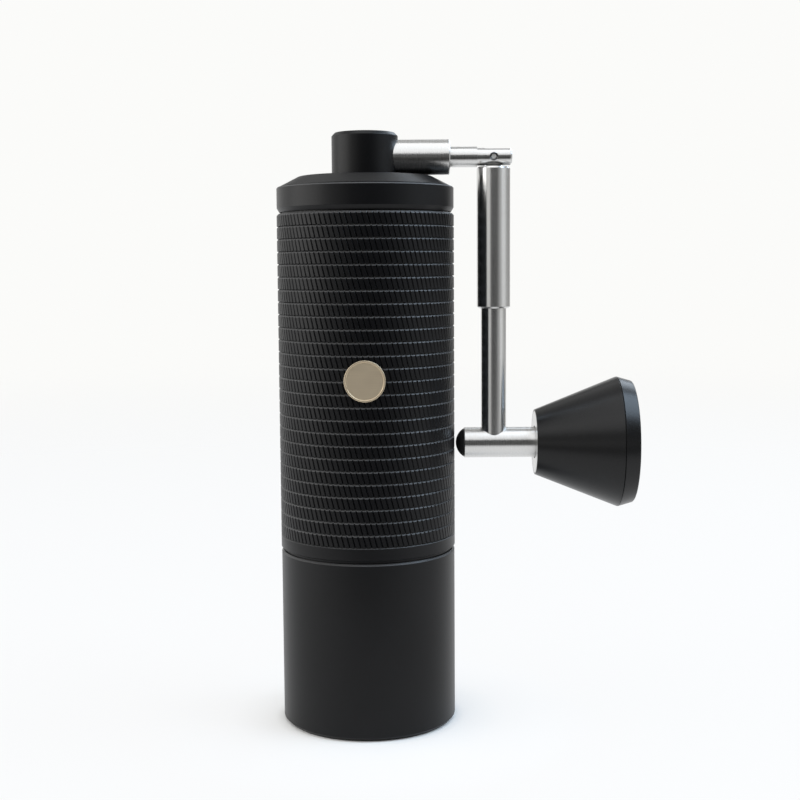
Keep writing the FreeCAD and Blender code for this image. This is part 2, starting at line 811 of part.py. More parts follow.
def biarc(start, start_way, end, end_way):
    """Two arcs that join two points smoothly, leaving and arriving along the given directions."""
    chord = end - start
    both = start_way + end_way
    spare = 4 - both.dot(both)
    lean = chord.dot(both)
    reach = (math.sqrt(lean * lean + spare * chord.dot(chord)) - lean) / spare
    first_corner = start + start_way * reach
    last_corner = end - end_way * reach
    joint = (first_corner + last_corner) * 0.5
    arcs = []
    for here, corner, there in ((start, first_corner, joint), (joint, last_corner, end)):
        middle = (here + there) * 0.5
        half = (there - here).Length / 2
        rise = corner - middle
        sag = half * math.tan(math.atan2(rise.Length, half) / 2)
        arcs.append(Part.Arc(here, middle + rise.normalize() * sag, there).toShape())
    return arcs


def coil_spring(label, radius, wire, turns, low, high):
    """A round-wire spring about Z, with its end turns resting at the low and high levels."""
    climb = high - low - wire
    rate = climb / (2 * math.pi * turns)

    def point(angle):
        height = low + wire / 2 + rate * angle
        return FreeCAD.Vector(radius * math.cos(angle), radius * math.sin(angle), height)

    def way(angle):
        return FreeCAD.Vector(-radius * math.sin(angle), radius * math.cos(angle), rate).normalize()

    edges = []
    for number in range(2 * turns):
        here = math.pi * number
        there = here + math.pi
        edges += biarc(point(here), way(here), point(there), way(there))
    section = Part.Wire(Part.makeCircle(wire / 2, point(0), way(0)))
    print(label, "gap between turns", round(climb / turns - wire, 2))
    return solid_feature(label, Part.Wire(edges).makePipeShell([section], True, False))


def make_burr_spring():
    radius = burr_spring_radius.number
    wire = size("burr_spring_wire").number
    turns = int(size("burr_spring_turns").number)
    ceiling = lower_bridge_top - size("bearing_width")
    return coil_spring("burr_spring", radius, wire, turns, spring_floor.number, ceiling.number)


# Click plate under the burr, and the dial that sets the grind
def make_click_plate():
    bore = size("shaft_radius") + size("running_clearance")
    points = washer_points(bore, size("click_plate_radius"), dial_top, burr_bottom)
    body = turned("click_plate", points)
    dimple = sketch_on(body, "XY_Plane", "dimple", dial_top)
    circle(dimple, size("click_circle_radius"), 0, size("click_dimple_radius"))
    feature = cut_forward(body, "dimple_cut", dimple, size("click_dimple_depth"))
    repeat_round(body, "dimples", feature, size("click_count"))
    return body


def make_adjust_dial():
    radius = size("dial_radius")
    bore = thread_radius + size("running_clearance")
    boss = size("dial_boss_radius")
    deck = dial_top - size("dial_boss_height")
    body = turned("adjust_dial", [
        (bore, dial_bottom),
        (radius, dial_bottom),
        (radius, deck),
        (boss, deck),
        (boss, dial_top),
        (bore, dial_top),
    ])
    notch = sketch_on(body, "XY_Plane", "grip_notch", dial_bottom)
    circle(notch, radius, 0, size("dial_notch_radius"))
    feature = cut_forward(body, "grip_notch_cut", notch, size("dial_height"))
    repeat_round(body, "grip_notches", feature, size("dial_notch_count"))
    return body


# Lid with its sealing ring and the bush that the crank turns in
def make_lid():
    radius = size("barrel_radius") - size("lid_step")
    chamfer = size("lid_edge_chamfer")
    line_radius = radius - chamfer - size("lid_ledge")
    line_floor = lid_wall_top - size("lid_line_depth")
    bevel_radius = line_radius - size("lid_line_width")
    top_radius = bevel_radius - size("lid_bevel_width")
    edge = radius - size("lid_taper_width")
    neck = radius - size("lid_neck_step")
    skirt = barrel_bore - size("lid_skirt_gap")
    skirt_inside = skirt - size("lid_skirt_wall")
    skirt_bottom = barrel_top - size("lid_skirt_length")
    section = size("o_ring_section")
    ring_radius = barrel_bore - size("o_ring_gap") - section
    groove_radius = ring_radius - section - size("fit_clearance")
    groove_low = skirt_bottom + size("o_ring_rise")
    groove_high = groove_low + section * 2 + size("o_ring_side_gap") * 2
    hole = size("hub_neck_radius") + size("running_clearance") + size("bushing_wall")
    flange = hole + size("bushing_flange_width")
    lid = turned("lid", [
        (hole + size("fit_clearance"), lid_underside),
        (hole + size("fit_clearance"), lid_top),
        (top_radius, lid_top),
        (bevel_radius, lid_wall_top),
        (bevel_radius, line_floor),
        (line_radius, line_floor),
        (line_radius, lid_wall_top),
        (radius - chamfer, lid_wall_top),
        (radius, lid_wall_top - chamfer),
        (radius, lid_taper_top),
        (edge, lid_edge),
        (neck, lid_edge),
        (neck, barrel_top),
        (skirt, barrel_top),
        (skirt, groove_high),
        (groove_radius, groove_high),
        (groove_radius, groove_low),
        (skirt, groove_low),
        (skirt, skirt_bottom),
        (skirt_inside, skirt_bottom),
        (skirt_inside, lid_underside),
    ])
    round_edge(lid, "top_round", top_radius, lid_top, size("lid_top_round"))
    o_ring = doc.addObject("Part::Torus", "lid_o_ring")
    bind(o_ring, "Radius1", ring_radius)
    bind(o_ring, "Radius2", section)
    place(o_ring, up=groove_low + section + size("o_ring_side_gap"))
    bore = size("hub_neck_radius") + size("running_clearance")
    flange_bottom = lid_underside - size("bushing_flange_height")
    bushing = turned("lid_bushing", [
        (bore, flange_bottom),
        (flange, flange_bottom),
        (flange, lid_underside),
        (hole, lid_underside),
        (hole, lid_top),
        (bore, lid_top),
    ])
    return [lid, o_ring, bushing]


# Crank hub, with a neck that reaches down through the lid and holds the drive socket
def make_crank_hub():
    radius = size("hub_radius")
    neck = size("hub_neck_radius")
    socket_hole = size("drive_socket_radius") + size("fit_clearance")
    groove = neck - size("clip_depth")
    body = turned("crank_hub", [
        (socket_hole, hub_neck_bottom),
        (neck, hub_neck_bottom),
        (neck, clip_bottom),
        (groove, clip_bottom),
        (groove, clip_top),
        (neck, clip_top),
        (neck, hub_bottom),
        (radius, hub_bottom),
        (radius, hub_top - size("hub_chamfer")),
        (radius - size("hub_chamfer"), hub_top),
        (0, hub_top),
        (0, socket_top),
        (socket_hole, socket_top),
    ])
    sketch = sketch_on(body, "YZ_Plane", "rod_bore", -size("rod_root"))
    circle(sketch, 0, crank_height, size("rod_radius") + size("fit_clearance"))
    cut_forward(body, "rod_hole", sketch, radius * 2 + size("rod_root"))
    return body


def make_drive_socket():
    """The steel insert in the hub's neck that slips over the shaft's hexagon."""
    body = new_body("drive_socket")
    sketch = sketch_on(body, "XY_Plane", "outside", hub_neck_bottom)
    circle(sketch, 0, 0, size("drive_socket_radius"))
    feature = add_feature(body, "Pad", "insert", sketch)
    bind(feature, "Length", size("drive_socket_length"))
    sketch = sketch_on(body, "XY_Plane", "hexagon", hub_neck_bottom)
    hexagon(sketch, hex_across + size("drive_clearance") * 2)
    cut_forward(body, "hex_hole", sketch, size("drive_socket_length"))
    return body


def make_stub_tube():
    """The steel collar beside the hub, cut to the hub's round side."""
    radius = size("stub_radius")
    bore = size("rod_radius") + size("fit_clearance")
    end = hinge_reach - knuckle_back - size("rod_length")
    chamfer = size("stub_chamfer")
    start = size("hub_radius") / 2
    body = turned("stub_tube", [
        (bore, start),
        (radius, start),
        (radius, end - chamfer),
        (radius - chamfer, end),
        (bore, end),
    ])
    sketch = sketch_on(body, "YZ_Plane", "saddle")
    circle(sketch, 0, 0, size("hub_radius") + size("saddle_gap"))
    cut_both_ways(body, "saddle_cut", sketch, radius * THROUGH)
    return place(body, up=crank_height, turn=ALONG_X)


def make_fork_rod():
    """The rod from the hub to the hinge, with a slotted knuckle for the arm's tongue."""
    rod = size("rod_radius")
    knuckle = size("knuckle_radius")
    chamfer = size("knuckle_chamfer")
    hinge = hinge_reach + size("rod_root")
    knuckle_start = hinge - knuckle_back
    end = hinge + size("knuckle_front")
    body = turned("fork_rod", [
        (0, 0),
        (rod, 0),
        (rod, knuckle_start),
        (knuckle, knuckle_start),
        (knuckle, end - chamfer),
        (knuckle - chamfer, end),
        (0, end),
    ])
    half = size("slot_width") / 2
    slot_floor = hinge - size("tongue_radius") - size("slot_gap")
    slot = sketch_on(body, "YZ_Plane", "slot")
    outline(slot, [(-half, slot_floor), (half, slot_floor), (half, end + chamfer), (-half, end + chamfer)])
    cut_both_ways(body, "slot_cut", slot, knuckle * THROUGH)
    hole = sketch_on(body, "XZ_Plane", "pin_hole")
    circle(hole, 0, hinge, size("pin_radius") + size("fit_clearance"))
    cut_both_ways(body, "pin_hole_cut", hole, knuckle * THROUGH)
    return place(body, across=-size("rod_root"), up=crank_height, turn=ALONG_X)


def make_hinge_pin():
    half_length = size("knuckle_radius") - size("pin_sink")
    radius = size("pin_radius")
    body = turned("hinge_pin", [(0, 0), (radius, 0), (radius, half_length * 2), (0, half_length * 2)])
    sketch = sketch_on(body, "XY_Plane", "socket")
    hexagon(sketch, size("pin_socket_across"))
    cut_forward(body, "socket_cut", sketch, size("pin_socket_depth"))
    return place(body, hinge_reach, -half_length, crank_height, ALONG_Y)


# Arm, measured down from the hinge pin: a tongue, a neck for the spring, and the rod
def make_arm_rod():
    neck = size("neck_radius")
    arm = size("arm_radius")
    drop = size("arm_drop")
    neck_start = size("knuckle_front") + size("neck_gap")
    body = turned("arm_rod", [
        (0, neck_start),
        (neck, neck_start),
        (neck, arm_shoulder),
        (arm, arm_shoulder),
        (arm, drop),
        (0, drop),
    ])
    radius = size("tongue_radius")
    root = neck_start + radius
    tongue = sketch_on(body, "XZ_Plane", "tongue")
    left, right, low = -radius.number, radius.number, root.number
    corners = [FreeCAD.Vector(x, y, 0) for x, y in ((right, 0), (right, low), (left, low), (left, 0))]
    for here, there in zip(corners, corners[1:]):
        tongue.addGeometry(Part.LineSegment(here, there), False)
    round_end = Part.Circle(FreeCAD.Vector(), FreeCAD.Vector(0, 0, 1), radius.number)
    tongue.addGeometry(Part.ArcOfCircle(round_end, math.pi, 2 * math.pi), False)
    for first, second in ((0, 1), (1, 2), (2, 3), (3, 0)):
        tongue.addConstraint(Sketcher.Constraint("Coincident", first, 2, second, 1))
    tongue.addConstraint(Sketcher.Constraint("Coincident", 3, 3, -1, 1))
    for end in (1, 2):
        tongue.addConstraint(Sketcher.Constraint("PointOnObject", 3, end, -1))
    for side in (0, 2):
        tongue.addConstraint(Sketcher.Constraint("Vertical", side))
    tongue.addConstraint(Sketcher.Constraint("Horizontal", 1))
    tie(tongue, "Radius", (3,), radius)
    tie(tongue, "DistanceY", (-1, 1, 1, 1), root)
    pad = add_feature(body, "Pad", "tongue_pad", tongue)
    pad.Midplane = True
    bind(pad, "Length", size("slot_width") - size("tongue_clearance") * 2)
    hole = sketch_on(body, "XZ_Plane", "pin_hole")
    circle(hole, 0, 0, size("pin_radius") + size("running_clearance"))
    cut_both_ways(body, "pin_hole_cut", hole, radius * THROUGH)
    saddle = sketch_on(body, "YZ_Plane", "saddle")
    circle(saddle, 0, drop, size("tube_radius") + size("saddle_gap"))
    cut_both_ways(body, "saddle_cut", saddle, arm * THROUGH)
    return place(body, hinge_reach, 0, crank_height, HANGING)


def make_lock_sleeve():
    radius = sleeve_radius
    chamfer = size("sleeve_chamfer")
    bore = size("arm_radius") + size("sleeve_clearance")
    mouth = size("rod_radius") + size("sleeve_clearance")
    body = turned("lock_sleeve", [
        (mouth, sleeve_top),
        (radius - chamfer, sleeve_top),
        (radius, sleeve_top + chamfer),
        (radius, sleeve_bottom - chamfer),
        (radius - chamfer, sleeve_bottom),
        (bore, sleeve_bottom),
        (bore, spring_start),
        (mouth, spring_start),
    ])
    return place(body, hinge_reach, 0, crank_height, HANGING)


def make_sleeve_spring():
    radius = size("sleeve_spring_radius").number
    wire = size("sleeve_spring_wire").number
    turns = int(size("sleeve_spring_turns").number)
    spring = coil_spring("sleeve_spring", radius, wire, turns, spring_start.number, arm_shoulder.number)
    return place(spring, hinge_reach, 0, crank_height, HANGING)


# Cross tube at the end of the arm, with the rubber bumper in its tail
def make_knob_tube():
    radius = size("tube_radius")
    bore = size("tube_bore_radius")
    chamfer = size("tube_chamfer")
    length = size("tube_tail") + size("knob_offset") + size("tube_nose")
    body = turned("knob_tube", [
        (bore, 0),
        (radius - chamfer, 0),
        (radius, chamfer),
        (radius, length - chamfer),
        (radius - chamfer, length),
        (bore, length),
    ])
    return place(body, hinge_reach - size("tube_tail"), 0, tube_height, ALONG_X)


def make_bumper():
    """A stem that plugs the tube, and a round head with the curve of a ball."""
    stem = size("bumper_stem")
    stem_radius = size("tube_bore_radius") - size("fit_clearance")
    dome = size("bumper_dome")
    tip = stem + dome
    radius = size("tube_radius") - size("bumper_step")
    head = turned("bumper_head", [
        (0, 0),
        (stem_radius, 0),
        (stem_radius, stem),
        (radius, stem),
        (radius, tip),
        (0, tip),
    ])
    ball_radius = (radius * radius + dome * dome) / (dome * 2)
    ball = doc.addObject("Part::Sphere", "bumper_ball")
    bind(ball, "Radius", ball_radius)
    place(ball, up=tip - ball_radius)
    bumper = doc.addObject("Part::Common", "bumper")
    bumper.Base = head
    bumper.Tool = ball
    return place(bumper, hinge_reach - size("tube_tail") + stem, 0, tube_height, AGAINST_X)


# Knob, measured out from its narrow face, on bushes round a shouldered axle
def make_knob():
    recess = size("tube_radius") + size("knob_recess_gap")
    recess_floor = size("tube_nose") + size("knob_recess_gap")
    ring_thickness = size("face_ring_thickness")
    end = size("knob_cone_length") + size("knob_rim_length")
    cap_floor = end - size("knob_cap_thickness")
    head_floor = cap_floor - size("axle_head_height") - size("axle_head_gap") * 2
    axle = size("tube_bore_radius") - size("fit_clearance")
    bush_bore = axle + size("running_clearance")
    bush_radius = bush_bore + size("knob_bush_wall")
    bush_seat = bush_radius + size("fit_clearance")
    inner_bush_end = recess_floor + size("knob_bush_length")
    outer_bush_start = head_floor - size("knob_bush_length")
    middle_bore = axle + size("knob_bore_gap")
    head_hole = size("axle_head_radius") + size("knob_bore_gap")
    small = size("knob_small_radius")
    big = size("knob_big_radius")
    ring_radius = small - size("face_ring_step")
    ring_seat = ring_radius + size("fit_clearance")
    knob = turned("knob", [
        (recess, ring_thickness),
        (ring_seat, ring_thickness),
        (ring_seat, 0),
        (small, 0),
        (big, size("knob_cone_length")),
        (size("knob_end_radius"), end),
        (size("knob_cap_radius"), end),
        (size("knob_cap_radius"), cap_floor),
        (head_hole, cap_floor),
        (head_hole, head_floor),
        (bush_seat, head_floor),
        (bush_seat, outer_bush_start),
        (middle_bore, outer_bush_start),
        (middle_bore, inner_bush_end),
        (bush_seat, inner_bush_end),
        (bush_seat, recess_floor),
        (recess, recess_floor),
    ])
    round_edge(knob, "widest_round", big, size("knob_cone_length"), size("knob_edge_round"))
    round_edge(knob, "end_round", size("knob_end_radius"), end, size("knob_edge_round"))
    face_ring = turned("knob_face_ring", [
        (recess, 0),
        (ring_radius, 0),
        (ring_radius, ring_thickness),
        (recess, ring_thickness),
    ])
    cap_radius = size("knob_cap_radius") - size("fit_clearance")
    cap = turned("knob_cap", [(0, cap_floor), (cap_radius, cap_floor), (cap_radius, end), (0, end)])
    inner_points = washer_points(bush_bore, bush_radius, recess_floor, inner_bush_end)
    outer_points = washer_points(bush_bore, bush_radius, outer_bush_start, head_floor)
    pieces = [knob, face_ring, cap]
    pieces += [turned("knob_bush_inner", inner_points), turned("knob_bush_outer", outer_points)]
    for piece in pieces:
        place(piece, knob_face, 0, tube_height, ALONG_X)
    shank = size("axle_root") + head_floor + size("axle_head_gap")
    head_top = shank + size("axle_head_height")
    head = size("axle_head_radius")
    knob_axle = turned("knob_axle", [
        (0, 0),
        (axle, 0),
        (axle, shank),
        (head, shank),
        (head, head_top),
        (0, head_top),
    ])
    place(knob_axle, knob_face - size("axle_root"), 0, tube_height, ALONG_X)
    return pieces + [knob_axle]


def make_grinder():
    """Every sub-part of the grinder, in its place."""
    upper_outer, upper_inner = make_bearing("upper_bearing", upper_bridge_top)
    lower_outer, lower_inner = make_bearing("lower_bearing", lower_bridge_top)
    shaft_groove = size("shaft_radius") - size("clip_depth")
    hub_groove = size("hub_neck_radius") - size("clip_depth")
    pieces = make_catch_cup() + make_barrel() + make_badge() + make_hopper()
    pieces += [upper_outer, upper_inner, lower_outer, lower_inner]
    pieces += [make_drive_shaft(), make_clip("shaft_clip", shaft_groove, upper_bridge_top)]
    pieces += [make_outer_burr(), make_inner_burr(), make_burr_ring(), make_burr_spring()]
    pieces += [make_click_plate(), make_adjust_dial()]
    pieces += make_lid()
    pieces += [make_crank_hub(), make_drive_socket(), make_clip("hub_clip", hub_groove, clip_bottom)]
    pieces += [make_stub_tube(), make_fork_rod(), make_hinge_pin()]
    pieces += [make_arm_rod(), make_lock_sleeve(), make_sleeve_spring(), make_knob_tube(), make_bumper()]
    pieces += make_knob()
    return pieces


def check(pieces):
    """Stop if a feature failed, a cut removed nothing, or a sub-part isn't one sound solid."""
    for item in doc.Objects:
        if "Invalid" in item.State or "Error" in item.State:
            raise RuntimeError(f"{item.Name} failed: {item.State}")
        if item.TypeId in ("PartDesign::Pocket", "PartDesign::Groove"):
            if item.Shape.Volume >= item.BaseFeature.Shape.Volume:
                raise RuntimeError(f"{item.Name} cuts nothing")
    for piece in pieces:
        shape = piece.Shape
        if shape.isNull() or not shape.isValid() or len(shape.Solids) != 1:
            raise RuntimeError(f"{piece.Label} isn't one sound solid")


grinder = make_grinder()
doc.recompute()
check(grinder)
os.makedirs("parts", exist_ok=True)
for sub_part in grinder:
    sub_part.Shape.exportStep(f"parts/{sub_part.Label}.step")
    print(sub_part.Label, round(sub_part.Shape.Volume, 1))
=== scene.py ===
import json
import math

import bmesh
import bpy
from mathutils import Matrix, Vector


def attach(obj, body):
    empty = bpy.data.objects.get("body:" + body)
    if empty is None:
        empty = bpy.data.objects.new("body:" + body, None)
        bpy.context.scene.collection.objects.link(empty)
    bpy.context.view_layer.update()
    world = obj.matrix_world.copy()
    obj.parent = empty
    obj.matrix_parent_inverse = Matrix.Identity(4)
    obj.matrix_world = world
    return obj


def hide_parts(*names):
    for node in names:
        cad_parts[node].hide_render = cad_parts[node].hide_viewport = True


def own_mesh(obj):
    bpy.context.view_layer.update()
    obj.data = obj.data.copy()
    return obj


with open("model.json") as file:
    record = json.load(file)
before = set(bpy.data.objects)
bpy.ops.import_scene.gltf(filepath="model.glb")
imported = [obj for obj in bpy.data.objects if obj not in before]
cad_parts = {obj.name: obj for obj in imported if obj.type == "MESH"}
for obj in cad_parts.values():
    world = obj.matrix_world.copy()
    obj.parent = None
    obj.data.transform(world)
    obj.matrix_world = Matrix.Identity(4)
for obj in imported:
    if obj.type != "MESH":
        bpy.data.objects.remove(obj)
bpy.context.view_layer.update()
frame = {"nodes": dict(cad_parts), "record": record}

# Looks of a hand crank coffee grinder. Sizes are in millimetres, and MM turns them into the frame's metres.
MM = 0.001
nodes = frame["nodes"]

# Barrel
BARREL_RADIUS = 26.25
BARREL_BORE = 23.6
BURR_SEAT_RADIUS = 21.02
SEAT_LIP_RADIUS = 19.5
SPIGOT_RADIUS = 23.9
SPIGOT_BOTTOM = 44.5
JOINT_LIP_RADIUS = 25.2
COLLAR_BOTTOM = 53.0
COLLAR_CHAMFER = 0.35
KNURL_BOTTOM = 57.1
RING_COUNT = 26
RING_PITCH = 3.664
RING_DEPTH = 0.5
RING_WIDTH = 0.45
RIM_BEVEL_DEPTH = 0.5
RIM_BEVEL_HEIGHT = 0.45
BURR_SEAT = 59.5
SEAT_LIP_TOP = 62.0
BAND_EDGE = 0.08
BAND_TOP_HEIGHT = 0.18
BAND_TOP_DROP = 0.08
# Slanted grooves across the bands, with the slant in radians for each millimetre of height
GROOVE_COUNT = 104
GROOVE_DEPTH = 0.32
GROOVE_SLANT = 0.010385
LAND_STOPS = (0.0, 0.33, 0.66)
GROOVE_STOP = 0.83
# Badge and its seat in the barrel's front
BADGE_HEIGHT = 104.65
BADGE_SEAT_RADIUS = 5.92
BADGE_SEAT_DEPTH = 25.45

# Cup
CUP_RADIUS = 26.15
CUP_BORE = 24.15
CUP_FLOOR = 2.5
CUP_RIM = 52.2

# Handle
HINGE_REACH = 38.05
CRANK_HEIGHT = 168.864
PIN_RADIUS = 1.25
PIN_HALF_LENGTH = 2.45
PIN_EDGE = 0.1
PIN_DISH = 0.35
PIN_SOCKET = 1.4
PIN_SOCKET_DEPTH = 0.5
TUBE_HEIGHT = 83.814
KNOB_FACE = 50.4
SLEEVE_SPRING_FOOT = 149.864

# Edges that stay sharp, by the angle between their faces in degrees
SHARP_TURNED = 34
SHARP_BARREL = 20
SHARP_SPRING = 40
# Edges that take a lighter second colour, a painted highlight, by how far their normal rises and by the least
# distance from the axis
EDGE_LEAST_RISE = 0.25
EDGE_MOST_RISE = 0.9
CUP_EDGE_RADIUS = 25.6
LID_EDGE_RADIUS = 25.8


# Mesh helpers
def rounded(points, steps=4, support=0.03):
    """An outline of (radius, height, round) corners, with each corner rounded by its third number."""
    outline = []
    for number, (across, up, size) in enumerate(points):
        here = Vector((across, up))
        if size == 0:
            outline.append(here)
            continue
        before = (Vector(points[number - 1][:2]) - here).normalized()
        after = (Vector(points[(number + 1) % len(points)][:2]) - here).normalized()
        half = before.angle(after) / 2
        reach = size / math.tan(half)
        centre = here + (before + after).normalized() * (size / math.sin(half))
        first = here + before * reach - centre
        last = here + after * reach - centre
        outline.append(centre + first + before * support)
        for step in range(steps + 1):
            ray = first.lerp(last, step / steps).normalized() * size
            outline.append(centre + ray)
        outline.append(centre + last + after * support)
    return outline


def add_piece(name, mesh, sharp_degrees):
    """Turn a bmesh into a smooth-shaded object with its sharp edges kept."""
    bmesh.ops.remove_doubles(mesh, verts=mesh.verts, dist=1e-7)
    bmesh.ops.recalc_face_normals(mesh, faces=mesh.faces)
    data = bpy.data.meshes.new(name)
    mesh.to_mesh(data)
    mesh.free()
    data.polygons.foreach_set("use_smooth", [True] * len(data.polygons))
    data.set_sharp_from_angle(angle=math.radians(sharp_degrees))
    piece = bpy.data.objects.new(name, data)
    bpy.context.scene.collection.objects.link(piece)
    return piece


def skin(mesh, rings, closed):
    """Join neighbouring rings of vertices with faces, all round."""
    count = len(rings[0])
    for here, there in zip(rings, rings[1:] + rings[:1]):
        for low in range(count if closed else count - 1):
            high = (low + 1) % count
            mesh.faces.new((here[low], there[low], there[high], here[high]))


def lathe(name, outline, closed, columns=144, place=None):
    """A piece turned about Z, with an outline that closes on itself or ends on the axis."""
    mesh = bmesh.new()
    rings = []
    for number in range(columns):
        angle = 2 * math.pi * number / columns
        ring = []
        for radius, height in outline:
            spot = Vector((radius * math.sin(angle), -radius * math.cos(angle), height))
            ring.append(mesh.verts.new(spot * MM))
        rings.append(ring)
    skin(mesh, rings, closed)
    if place is not None:
        mesh.transform(place)
    return add_piece(name, mesh, SHARP_TURNED)


def along_x(across, up):
    """A place for a piece that is turned about X and starts at a point in the middle plane."""
    return Matrix.Translation(Vector((across, 0, up)) * MM) @ Matrix.Rotation(math.pi / 2, 4, "Y")


def on_front():
    """A place for a piece that is turned about Y and starts at the floor of the badge's seat."""
    place = Matrix.Translation(Vector((0, -BADGE_SEAT_DEPTH, BADGE_HEIGHT)) * MM)
    return place @ Matrix.Rotation(math.pi / 2, 4, "X")


def paint_edge_highlights(piece, least_radius):
    """Give a turned piece's outer edges that slope up and out a second, lighter colour, a painted highlight,
    and return the piece.
    """
    for face in piece.data.polygons:
        across = math.hypot(face.center.x, face.center.y) / MM
        outward = face.normal.x * face.center.x + face.normal.y * face.center.y
        sloping = EDGE_LEAST_RISE < face.normal.z < EDGE_MOST_RISE
        if across > least_radius and outward > 0 and sloping:
            face.material_index = 1
    return piece


# Barrel with its rings and slanted grooves
def barrel_rows():
    """Rows from the spigot up the barrel and down its bore: height, land radius and groove radius."""
    def plain(radius, height):
        return (height, radius, radius)

    land = BARREL_RADIUS
    floor = BARREL_RADIUS - GROOVE_DEPTH
    rows = [
        plain(BURR_SEAT_RADIUS, SPIGOT_BOTTOM),
        plain(SPIGOT_RADIUS, SPIGOT_BOTTOM),
        plain(SPIGOT_RADIUS, CUP_RIM),
        plain(JOINT_LIP_RADIUS, CUP_RIM),
        plain(JOINT_LIP_RADIUS, COLLAR_BOTTOM),
        plain(land - COLLAR_CHAMFER, COLLAR_BOTTOM),
        plain(land, COLLAR_BOTTOM + COLLAR_CHAMFER),
        plain(land, KNURL_BOTTOM - RING_WIDTH),
        plain(land - RING_DEPTH, KNURL_BOTTOM),
    ]
    for number in range(RING_COUNT):
        low = KNURL_BOTTOM + RING_PITCH * number
        top = low + RING_PITCH
        last = number == RING_COUNT - 1
        depth = RIM_BEVEL_DEPTH if last else RING_DEPTH
        height = RIM_BEVEL_HEIGHT if last else RING_WIDTH
        bevel = top - height
        slope = height / (depth - BAND_TOP_DROP)
        rows.append((low, land - BAND_EDGE, floor))
        rows.append((low + BAND_EDGE, land, floor))
        rows.append((bevel - BAND_TOP_HEIGHT, land, floor))
        rows.append((bevel, land - BAND_TOP_DROP, floor))
        rows.append(plain(floor, bevel + slope * (GROOVE_DEPTH - BAND_TOP_DROP)))
        rows.append(plain(land - depth, top))
    rows += [
        plain(BARREL_BORE, top),
        plain(BARREL_BORE, SEAT_LIP_TOP),
        plain(SEAT_LIP_RADIUS, SEAT_LIP_TOP),
        plain(SEAT_LIP_RADIUS, BURR_SEAT),
        plain(BURR_SEAT_RADIUS, BURR_SEAT),
    ]
    return rows


def make_barrel():
    mesh = bmesh.new()
    rows = barrel_rows()
    step = 2 * math.pi / GROOVE_COUNT
    columns = []
    for number in range(GROOVE_COUNT):
        for stop in (*LAND_STOPS, GROOVE_STOP):
            column = []
            for height, land, floor in rows:
                radius = floor if stop == GROOVE_STOP else land
                angle = step * (number + stop) - GROOVE_SLANT * height
                spot = Vector((radius * math.sin(angle), -radius * math.cos(angle), height))
                column.append(mesh.verts.new(spot * MM))
            columns.append(column)
    skin(mesh, columns, closed=True)
    barrel = add_piece("knurled_barrel", mesh, SHARP_BARREL)
    cut_badge_seat(barrel)
    return paint_edge_highlights(barrel, SPIGOT_RADIUS)


def cut_badge_seat(barrel):
    """Sink the badge's flat round seat into the front of the barrel."""
    depth = 3.0
    outline = [(0, 0), (BADGE_SEAT_RADIUS, 0), (BADGE_SEAT_RADIUS, depth), (0, depth)]
    cutter = lathe("badge_seat_cutter", outline, closed=False, columns=96, place=on_front())
    modifier = barrel.modifiers.new("badge_seat", "BOOLEAN")
    modifier.operation = "DIFFERENCE"
    modifier.solver = "EXACT"
    modifier.object = cutter
    graph = bpy.context.evaluated_depsgraph_get()
    data = bpy.data.meshes.new_from_object(barrel.evaluated_get(graph))
    barrel.modifiers.clear()
    barrel.data = data
    data.set_sharp_from_angle(angle=math.radians(SHARP_BARREL))
    bpy.data.objects.remove(cutter)


# Turned pieces with rounded edges: in each, the radii are named first and the heights or depths after them
def make_catch_cup():
    foot_chamfer = 1.2
    rim_chamfer = 0.5
    shell = lathe("cup_shell", rounded([
        (0, 0, 0),
        (CUP_RADIUS - foot_chamfer, 0, 0.3),
        (CUP_RADIUS, foot_chamfer, 0.4),
        (CUP_RADIUS, CUP_RIM - rim_chamfer, 0.12),
        (CUP_RADIUS - rim_chamfer, CUP_RIM, 0.12),
        (CUP_BORE, CUP_RIM, 0.12),
        (CUP_BORE, CUP_FLOOR, 3.0),
        (0, CUP_FLOOR, 0),
    ]), closed=False)
    return paint_edge_highlights(shell, CUP_EDGE_RADIUS)


def make_lid():
    bore = 7.52
    flat = 19.7
    inside = 20.4
    seal_seat = 21.68
    plug = 23.2
    neck = 24.6
    line_inner = 25.2
    foot = 25.45
    line_outer = 25.6
    ledge = 25.85
    wall = 26.2
    plug_foot = 146.364
    seal_foot = 147.864
    seal_top = 149.964
    neck_foot = 152.364
    wall_foot = 152.764
    taper_top = 154.064
    line_floor = 159.664
    wall_top = 159.814
    ledge_top = 160.164
    ceiling = 160.264
    bevel_foot = 160.414
    top = 163.264
    shell = lathe("lid_shell", rounded([
        (bore, ceiling, 0),
        (bore, top, 0.15),
        (flat, top, 1.6),
        (line_inner, bevel_foot, 0.04),
        (line_inner, line_floor, 0),
        (line_outer, line_floor, 0),
        (line_outer, ledge_top, 0.04),
        (ledge, ledge_top, 0.05),
        (wall, wall_top, 0.05),
        (wall, taper_top, 0.2),
        (foot, wall_foot, 0.08),
        (neck, wall_foot, 0),
        (neck, neck_foot, 0),
        (plug, neck_foot, 0),
        (plug, seal_top, 0.08),
        (seal_seat, seal_top, 0),
        (seal_seat, seal_foot, 0),
        (plug, seal_foot, 0.08),
        (plug, plug_foot, 0.2),
        (inside, plug_foot, 0.2),
        (inside, ceiling, 0.6),
    ]), closed=True)
    return paint_edge_highlights(shell, LID_EDGE_RADIUS)


